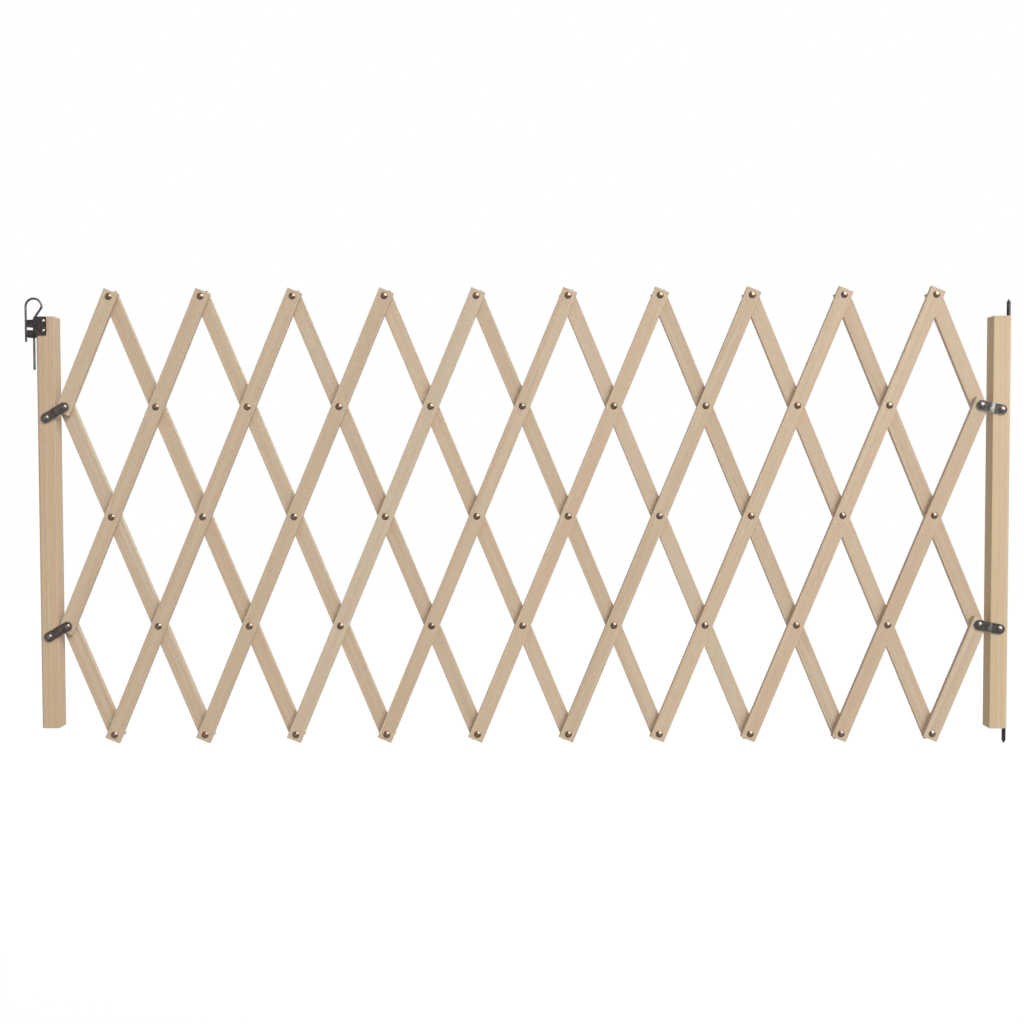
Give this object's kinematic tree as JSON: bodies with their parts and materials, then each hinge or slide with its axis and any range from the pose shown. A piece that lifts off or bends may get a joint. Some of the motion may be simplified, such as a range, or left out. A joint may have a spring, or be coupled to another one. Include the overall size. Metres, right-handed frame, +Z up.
{
  "type": "expandable safety gate",
  "caption": "Expanding wooden lattice gate of riveted slats between two posts, with pivot pins at the hinge end and a drop pin latch at the other.",
  "frame": {"origin": "on the hinge axis, where the lower pivot pin leaves the foot of the hinge post", "axes": "+Z up along the hinge axis, +X along the gate from the latch post to the hinge post, front towards -Y"},
  "size_m": [1.531, 0.0361, 0.7128],
  "materials": {
    "slat_wood": "planed beech, matt lacquer",
    "post_wood": "planed beech, matt lacquer",
    "rivet": "bronzed, domed and bright on the crown",
    "strap_steel": "blackened strip",
    "pin_steel": "blackened bar",
    "latch_steel": "blackened sheet",
    "wire_steel": "drawn spring wire"
  },
  "bodies": {
    "hinge_post": {"hinge_post": "post_wood", "hinge_upper_post_rivet": "rivet", "hinge_lower_post_peg": "rivet", "lower_pivot_pin": "pin_steel", "upper_pivot_pin": "pin_steel"},
    "latch_post": {"latch_post": "post_wood", "latch_upper_post_rivet": "rivet", "latch_lower_post_peg": "rivet", "latch_bracket": "latch_steel", "latch_screws": "latch_steel"},
    "latch_pin": {"latch_pin": "wire_steel"},
    "hinge_upper_strap": {"hinge_upper_strap": "strap_steel"},
    "latch_upper_strap": {"latch_upper_strap": "strap_steel"},
    "hinge_lower_strap": {"hinge_lower_strap": "strap_steel", "hinge_lower_post_rivet": "rivet"},
    "latch_lower_strap": {"latch_lower_strap": "strap_steel", "latch_lower_post_rivet": "rivet"},
    "front_slat_01": {"front_slat_01": "slat_wood", "slat_rivets_01": "rivet", "latch_upper_strap_rivet": "rivet"},
    "back_slat_01": {"back_slat_01": "slat_wood"},
    "front_slat_02": {"front_slat_02": "slat_wood", "slat_rivets_02": "rivet", "latch_lower_strap_rivet": "rivet"},
    "back_slat_02": {"back_slat_02": "slat_wood"},
    "front_slat_03": {"front_slat_03": "slat_wood", "slat_rivets_03": "rivet"},
    "back_slat_03": {"back_slat_03": "slat_wood"},
    "front_slat_04": {"front_slat_04": "slat_wood", "slat_rivets_04": "rivet"},
    "back_slat_04": {"back_slat_04": "slat_wood"},
    "front_slat_05": {"front_slat_05": "slat_wood", "slat_rivets_05": "rivet"},
    "back_slat_05": {"back_slat_05": "slat_wood"},
    "front_slat_06": {"front_slat_06": "slat_wood", "slat_rivets_06": "rivet"},
    "back_slat_06": {"back_slat_06": "slat_wood"},
    "front_slat_07": {"front_slat_07": "slat_wood", "slat_rivets_07": "rivet"},
    "back_slat_07": {"back_slat_07": "slat_wood"},
    "front_slat_08": {"front_slat_08": "slat_wood", "slat_rivets_08": "rivet"},
    "back_slat_08": {"back_slat_08": "slat_wood"},
    "front_slat_09": {"front_slat_09": "slat_wood", "slat_rivets_09": "rivet"},
    "back_slat_09": {"back_slat_09": "slat_wood"},
    "front_slat_10": {"front_slat_10": "slat_wood", "slat_rivets_10": "rivet"},
    "back_slat_10": {"back_slat_10": "slat_wood"},
    "front_slat_11": {"front_slat_11": "slat_wood", "slat_rivets_11": "rivet", "hinge_upper_strap_rivet": "rivet"},
    "back_slat_11": {"back_slat_11": "slat_wood"},
    "front_slat_12": {"front_slat_12": "slat_wood", "slat_rivets_12": "rivet", "hinge_lower_strap_rivet": "rivet"},
    "back_slat_12": {"back_slat_12": "slat_wood"}
  },
  "joints": [
    {"name": "hinge_upper_strap_pivot", "type": "hinge", "parent": "hinge_post", "child": "hinge_upper_strap", "pos_m": [-0.01025, -0.0045, 0.49779], "axis": [0, 1, 0], "range_deg": [0, 12.34]},
    {"name": "front_slat_11_pivot", "type": "hinge", "parent": "hinge_upper_strap", "child": "front_slat_11", "pos_m": [-0.04302, -0.007, 0.50475], "axis": [0, 1, 0], "range_deg": [-31.04, 0]},
    {"name": "back_slat_09_pivot", "type": "hinge", "parent": "front_slat_11", "child": "back_slat_09", "pos_m": [-0.2563, -0.007, -0.00763], "axis": [0, 1, 0], "range_deg": [0, 37.45]},
    {"name": "back_slat_10_pivot", "type": "hinge", "parent": "front_slat_11", "child": "back_slat_10", "pos_m": [-0.18521, -0.007, 0.16317], "axis": [0, 1, 0], "range_deg": [0, 37.45]},
    {"name": "back_slat_11_pivot", "type": "hinge", "parent": "front_slat_11", "child": "back_slat_11", "pos_m": [-0.11411, -0.007, 0.33396], "axis": [0, 1, 0], "range_deg": [0, 37.45]},
    {"name": "back_slat_12_pivot", "type": "hinge", "parent": "front_slat_11", "child": "back_slat_12", "pos_m": [-0.04302, -0.007, 0.50475], "axis": [0, 1, 0], "range_deg": [0, 37.45]},
    {"name": "front_slat_12_pivot", "type": "hinge", "parent": "back_slat_11", "child": "front_slat_12", "pos_m": [-0.04302, -0.007, 0.16317], "axis": [0, 1, 0], "range_deg": [-37.45, 0]},
    {"name": "front_slat_10_pivot", "type": "hinge", "parent": "back_slat_09", "child": "front_slat_10", "pos_m": [-0.3274, -0.007, 0.16317], "axis": [0, 1, 0], "range_deg": [-37.45, 0]},
    {"name": "front_slat_09_pivot", "type": "hinge", "parent": "back_slat_09", "child": "front_slat_09", "pos_m": [-0.39849, -0.007, 0.33396], "axis": [0, 1, 0], "range_deg": [-37.45, 0]},
    {"name": "front_slat_08_pivot", "type": "hinge", "parent": "back_slat_09", "child": "front_slat_08", "pos_m": [-0.46959, -0.007, 0.50475], "axis": [0, 1, 0], "range_deg": [-37.45, 0]},
    {"name": "front_slat_07_pivot", "type": "hinge", "parent": "back_slat_09", "child": "front_slat_07", "pos_m": [-0.54068, -0.007, 0.67555], "axis": [0, 1, 0], "range_deg": [-37.45, 0]},
    {"name": "back_slat_08_pivot", "type": "hinge", "parent": "front_slat_07", "child": "back_slat_08", "pos_m": [-0.61177, -0.007, 0.50475], "axis": [0, 1, 0], "range_deg": [0, 37.45]},
    {"name": "back_slat_07_pivot", "type": "hinge", "parent": "front_slat_07", "child": "back_slat_07", "pos_m": [-0.68287, -0.007, 0.33396], "axis": [0, 1, 0], "range_deg": [0, 37.45]},
    {"name": "back_slat_06_pivot", "type": "hinge", "parent": "front_slat_07", "child": "back_slat_06", "pos_m": [-0.75396, -0.007, 0.16317], "axis": [0, 1, 0], "range_deg": [0, 37.45]},
    {"name": "fold", "type": "hinge", "parent": "front_slat_07", "child": "back_slat_05", "pos_m": [-0.82506, -0.007, -0.00763], "axis": [0, 1, 0], "range_deg": [0, 37.4]},
    {"name": "front_slat_06_pivot", "type": "hinge", "parent": "back_slat_05", "child": "front_slat_06", "pos_m": [-0.89615, -0.007, 0.16317], "axis": [0, 1, 0], "range_deg": [-37.45, 0]},
    {"name": "front_slat_05_pivot", "type": "hinge", "parent": "back_slat_05", "child": "front_slat_05", "pos_m": [-0.96725, -0.007, 0.33396], "axis": [0, 1, 0], "range_deg": [-37.45, 0]},
    {"name": "front_slat_04_pivot", "type": "hinge", "parent": "back_slat_05", "child": "front_slat_04", "pos_m": [-1.03834, -0.007, 0.50475], "axis": [0, 1, 0], "range_deg": [-37.45, 0]},
    {"name": "front_slat_03_pivot", "type": "hinge", "parent": "back_slat_05", "child": "front_slat_03", "pos_m": [-1.10944, -0.007, 0.67555], "axis": [0, 1, 0], "range_deg": [-37.45, 0]},
    {"name": "back_slat_04_pivot", "type": "hinge", "parent": "front_slat_03", "child": "back_slat_04", "pos_m": [-1.18053, -0.007, 0.50475], "axis": [0, 1, 0], "range_deg": [0, 37.45]},
    {"name": "back_slat_03_pivot", "type": "hinge", "parent": "front_slat_03", "child": "back_slat_03", "pos_m": [-1.25163, -0.007, 0.33396], "axis": [0, 1, 0], "range_deg": [0, 37.45]},
    {"name": "back_slat_02_pivot", "type": "hinge", "parent": "front_slat_03", "child": "back_slat_02", "pos_m": [-1.32272, -0.007, 0.16317], "axis": [0, 1, 0], "range_deg": [0, 37.45]},
    {"name": "back_slat_01_pivot", "type": "hinge", "parent": "front_slat_03", "child": "back_slat_01", "pos_m": [-1.39382, -0.007, -0.00763], "axis": [0, 1, 0], "range_deg": [0, 37.45]},
    {"name": "front_slat_02_pivot", "type": "hinge", "parent": "back_slat_02", "child": "front_slat_02", "pos_m": [-1.39382, -0.007, 0.33396], "axis": [0, 1, 0], "range_deg": [-37.45, 0]},
    {"name": "front_slat_01_pivot", "type": "hinge", "parent": "back_slat_02", "child": "front_slat_01", "pos_m": [-1.46491, -0.007, 0.50475], "axis": [0, 1, 0], "range_deg": [-37.45, 0]},
    {"name": "latch_upper_strap_pivot", "type": "hinge", "parent": "back_slat_02", "child": "latch_upper_strap", "pos_m": [-1.46491, -0.007, 0.50475], "axis": [0, 1, 0], "range_deg": [-13.54, 0]},
    {"name": "latch_post_pivot", "type": "hinge", "parent": "latch_upper_strap", "child": "latch_post", "pos_m": [-1.49407, -0.0045, 0.48826], "axis": [0, 1, 0], "range_deg": [-5.26, 0]},
    {"name": "latch_lower_strap_pivot", "type": "hinge", "parent": "front_slat_02", "child": "latch_lower_strap", "pos_m": [-1.46491, -0.007, 0.16317], "axis": [0, 1, 0], "range_deg": [0, 72.53]},
    {"name": "hinge_lower_strap_pivot", "type": "hinge", "parent": "front_slat_12", "child": "hinge_lower_strap", "pos_m": [-0.04302, -0.007, 0.16317], "axis": [0, 1, 0], "range_deg": [-17.64, 0]},
    {"name": "latch_pin_lift", "type": "slide", "parent": "latch_post", "child": "latch_pin", "axis": [0, 0, 1], "range_m": [0, 0.07]}
  ],
  "couplings": [
    {"joint": "hinge_upper_strap_pivot", "follows": "fold", "ratio": 0.32847},
    {"joint": "front_slat_11_pivot", "follows": "fold", "ratio": -0.82847},
    {"joint": "back_slat_09_pivot", "follows": "fold", "ratio": 1},
    {"joint": "back_slat_10_pivot", "follows": "fold", "ratio": 1},
    {"joint": "back_slat_11_pivot", "follows": "fold", "ratio": 1},
    {"joint": "back_slat_12_pivot", "follows": "fold", "ratio": 1},
    {"joint": "front_slat_12_pivot", "follows": "fold", "ratio": -1},
    {"joint": "front_slat_10_pivot", "follows": "fold", "ratio": -1},
    {"joint": "front_slat_09_pivot", "follows": "fold", "ratio": -1},
    {"joint": "front_slat_08_pivot", "follows": "fold", "ratio": -1},
    {"joint": "front_slat_07_pivot", "follows": "fold", "ratio": -1},
    {"joint": "back_slat_08_pivot", "follows": "fold", "ratio": 1},
    {"joint": "back_slat_07_pivot", "follows": "fold", "ratio": 1},
    {"joint": "back_slat_06_pivot", "follows": "fold", "ratio": 1},
    {"joint": "front_slat_06_pivot", "follows": "fold", "ratio": -1},
    {"joint": "front_slat_05_pivot", "follows": "fold", "ratio": -1},
    {"joint": "front_slat_04_pivot", "follows": "fold", "ratio": -1},
    {"joint": "front_slat_03_pivot", "follows": "fold", "ratio": -1},
    {"joint": "back_slat_04_pivot", "follows": "fold", "ratio": 1},
    {"joint": "back_slat_03_pivot", "follows": "fold", "ratio": 1},
    {"joint": "back_slat_02_pivot", "follows": "fold", "ratio": 1},
    {"joint": "back_slat_01_pivot", "follows": "fold", "ratio": 1},
    {"joint": "front_slat_02_pivot", "follows": "fold", "ratio": -1},
    {"joint": "front_slat_01_pivot", "follows": "fold", "ratio": -1},
    {"joint": "latch_upper_strap_pivot", "follows": "fold", "ratio": -0.36056},
    {"joint": "latch_post_pivot", "follows": "fold", "ratio": -0.13944},
    {"joint": "latch_lower_strap_pivot", "follows": "fold", "ratio": 1.9381},
    {"joint": "hinge_lower_strap_pivot", "follows": "fold", "ratio": -0.47019}
  ]
}
